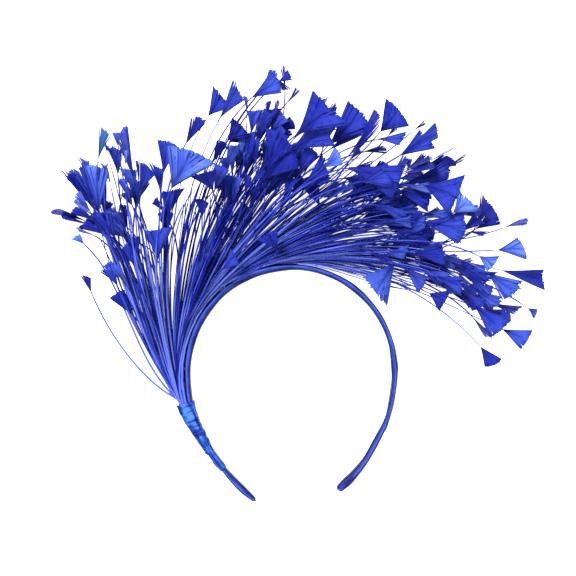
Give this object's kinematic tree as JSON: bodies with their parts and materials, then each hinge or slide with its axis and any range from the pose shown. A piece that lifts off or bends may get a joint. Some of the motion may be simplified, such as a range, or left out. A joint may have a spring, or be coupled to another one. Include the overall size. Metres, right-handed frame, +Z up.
{
  "type": "feather fascinator",
  "caption": "Narrow satin-covered headband with a one-sided plume of bare stripped quills that end in small trimmed feather fans, bound to one leg with wound tape.",
  "frame": {"origin": "middle of the object's box, on the surface that it lies on", "axes": "+X to the right and +Y to the top of the picture, in the band's plane; +Z up, along the band's width, away from the surface"},
  "size_m": [0.3074, 0.271, 0.0601],
  "materials": {
    "headband_satin": "royal-blue satin with a lengthwise sheen",
    "binding_satin": "azure satin tape, creased and wound",
    "quill_blue": "dyed feather: glossy bare quills and matt barbs"
  },
  "bodies": {
    "root": {"headband": "headband_satin", "binding_tape": "binding_satin", "quill_plume": "quill_blue"}
  },
  "joints": []
}
